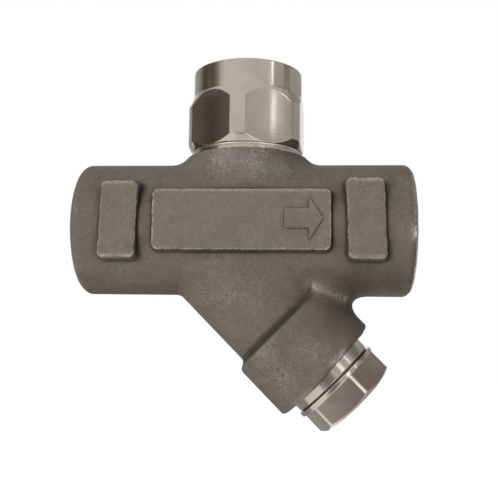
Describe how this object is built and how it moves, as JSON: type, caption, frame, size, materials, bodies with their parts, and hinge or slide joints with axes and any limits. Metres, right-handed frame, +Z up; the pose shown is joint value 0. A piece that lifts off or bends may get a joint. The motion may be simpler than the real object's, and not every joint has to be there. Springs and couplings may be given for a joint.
{
  "type": "disc steam trap with y strainer",
  "caption": "Inline disc steam trap with a cast body, threaded ports, a hexagon cap over a lifting disc and a slanted Y strainer branch whose hexagon cap draws out a screen.",
  "frame": {"origin": "centre of the inlet port's end face, on the pipe axis", "axes": "+X along the flow from inlet to outlet, +Z up through the trap cap, +Y to the back, away from the marking plates"},
  "size_m": [0.078, 0.0326, 0.0858],
  "materials": {
    "cast_steel": "shot-blasted cast stainless steel, warm grey and matt, with worn bright edges",
    "machined_steel": "turned and milled stainless steel with fine tool marks",
    "gasket_metal": "flat ring of thin stainless steel",
    "screen_sheet": "perforated stainless steel sheet"
  },
  "bodies": {
    "valve_body": {"body": "cast_steel", "seat": "machined_steel", "seat_inner_gasket": "gasket_metal", "seat_outer_gasket": "gasket_metal"},
    "disc": {"trap_disc": "machined_steel"},
    "cap_seal": {"cap_gasket": "gasket_metal"},
    "cap": {"trap_cap": "machined_steel"},
    "screen": {"strainer_gasket": "gasket_metal", "strainer_screen": "screen_sheet"},
    "plug": {"strainer_cap": "machined_steel"}
  },
  "joints": [
    {"name": "disc_lift", "type": "slide", "parent": "valve_body", "child": "disc", "axis": [0, 0, 1], "range_m": [0, 0.0006]},
    {"name": "cap_rise", "type": "slide", "parent": "valve_body", "child": "cap_seal", "axis": [0, 0, 1], "range_m": [0, 0.009]},
    {"name": "cap_turn", "type": "hinge", "parent": "cap_seal", "child": "cap", "pos_m": [0.039, 0, 0.0286], "axis": [0, 0, 1], "range_deg": [0, 2160]},
    {"name": "screen_draw", "type": "slide", "parent": "valve_body", "child": "screen", "axis": [0.7071, 0, -0.7071], "range_m": [0, 0.00825]},
    {"name": "plug_turn", "type": "hinge", "parent": "screen", "child": "plug", "pos_m": [0.06021, 0, -0.03521], "axis": [0.7071, 0, -0.7071], "range_deg": [0, 1980]}
  ],
  "couplings": [
    {"joint": "cap_rise", "follows": "cap_turn", "m_per_rad": 0.00023873},
    {"joint": "screen_draw", "follows": "plug_turn", "m_per_rad": 0.00023873}
  ]
}
